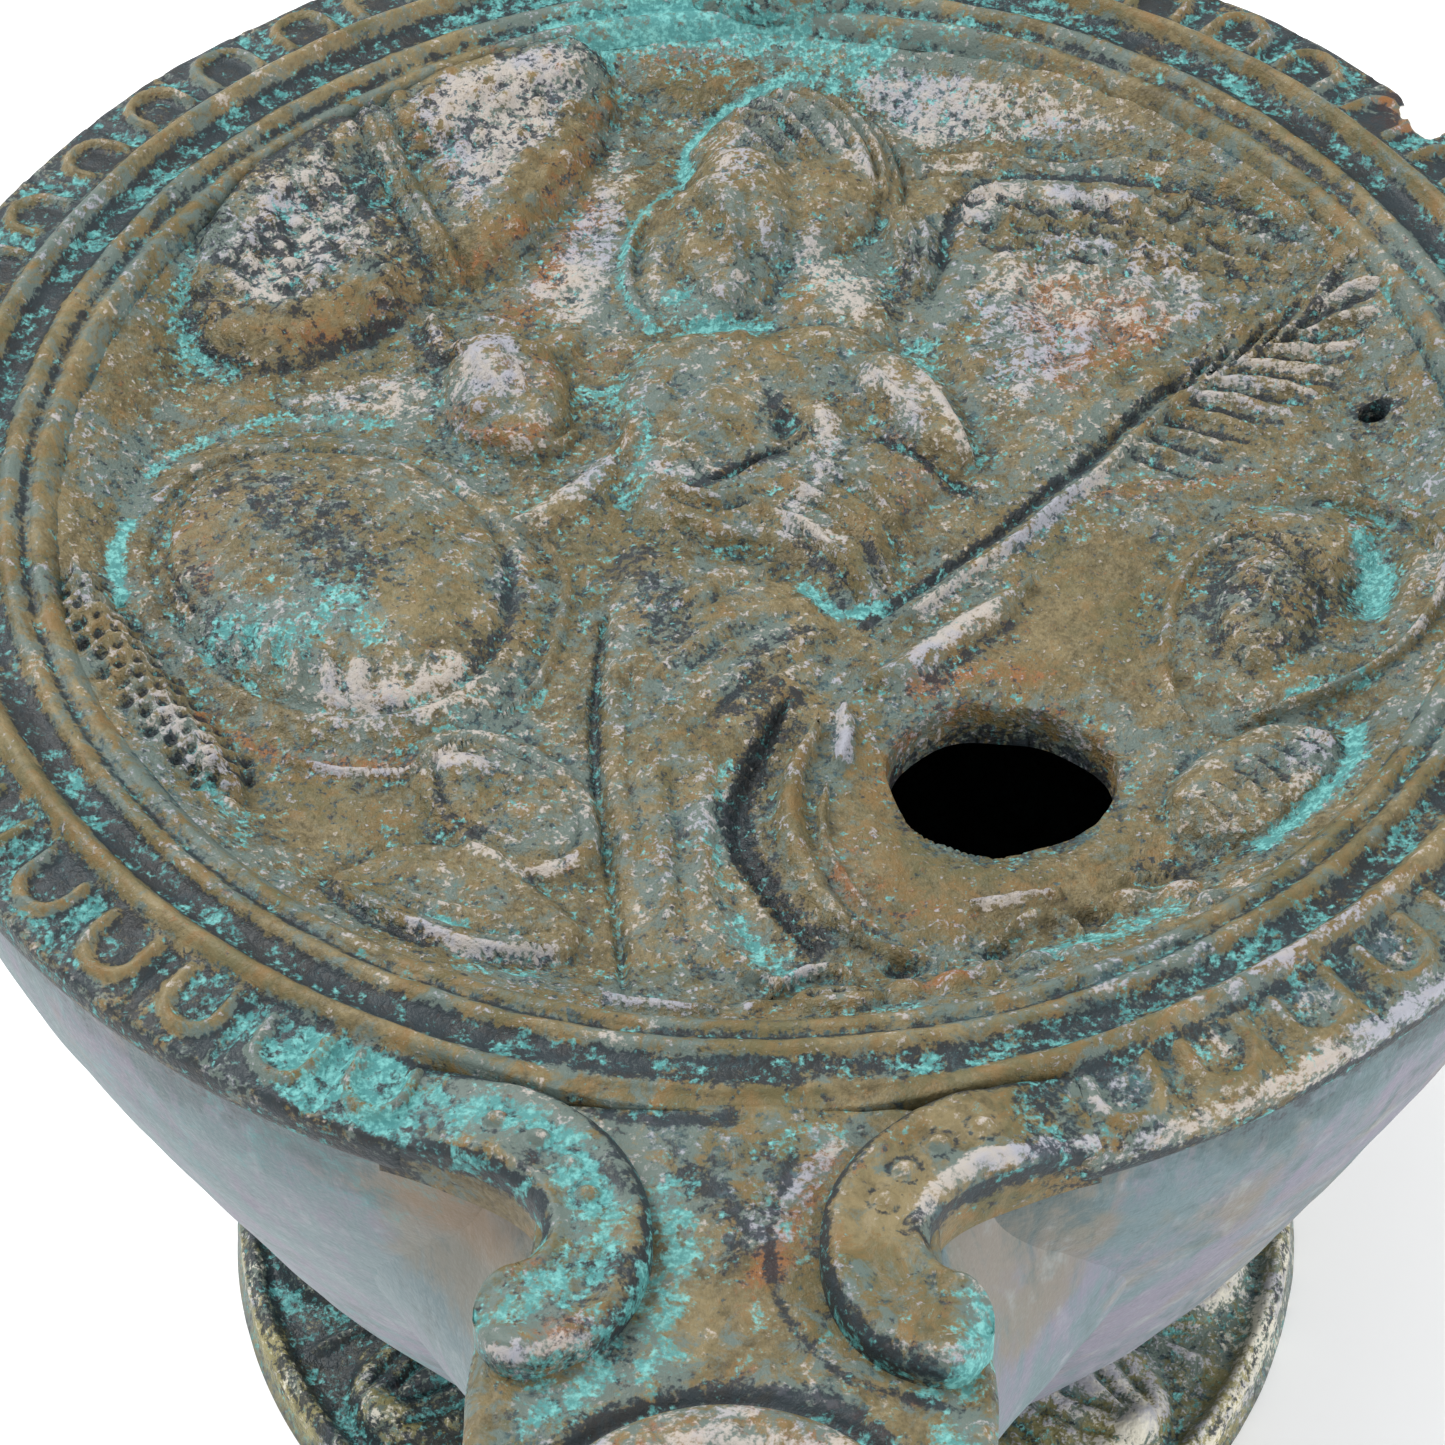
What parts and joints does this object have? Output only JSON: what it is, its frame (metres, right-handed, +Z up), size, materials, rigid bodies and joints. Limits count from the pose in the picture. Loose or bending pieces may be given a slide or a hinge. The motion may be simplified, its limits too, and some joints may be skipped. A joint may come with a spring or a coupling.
{
  "type": "oil lamp",
  "caption": "Footed oil lamp: hollow bowl, sunken relief disc with filling hole, scrolled nozzle with a collared wick hole, loop handle and a leaf-decorated foot.",
  "frame": {"origin": "centre of the foot's resting face, on the axis of the round body", "axes": "+Z up along the body's axis, -Y towards the nozzle, +Y towards the loop handle, +X to the side the filling hole is on"},
  "size_m": [0.1, 0.1622, 0.0715],
  "materials": {
    "foot_patina": "dark olive bronze-like paint, pale worn relief, waxed",
    "wall_patina": "brushed grey-green and lilac wash, satin",
    "rim_patina": "olive-ochre paint with dark and turquoise deposits",
    "scroll_verdigris": "turquoise verdigris over dark paint",
    "scroll_patina": "olive-ochre paint with some turquoise",
    "relief_patina": "ochre-olive paint, dark in the hollows, pale where worn"
  },
  "bodies": {
    "root": {"foot_disc": "foot_patina", "foot_stem": "foot_patina", "reservoir_bowl": "wall_patina", "nozzle_spout": "wall_patina", "nozzle_deck": "rim_patina", "wick_collar": "rim_patina", "shoulder_ring": "rim_patina", "volute_left": "scroll_verdigris", "volute_right": "scroll_patina", "discus_plate": "relief_patina", "handle_ring": "rim_patina"}
  },
  "joints": []
}
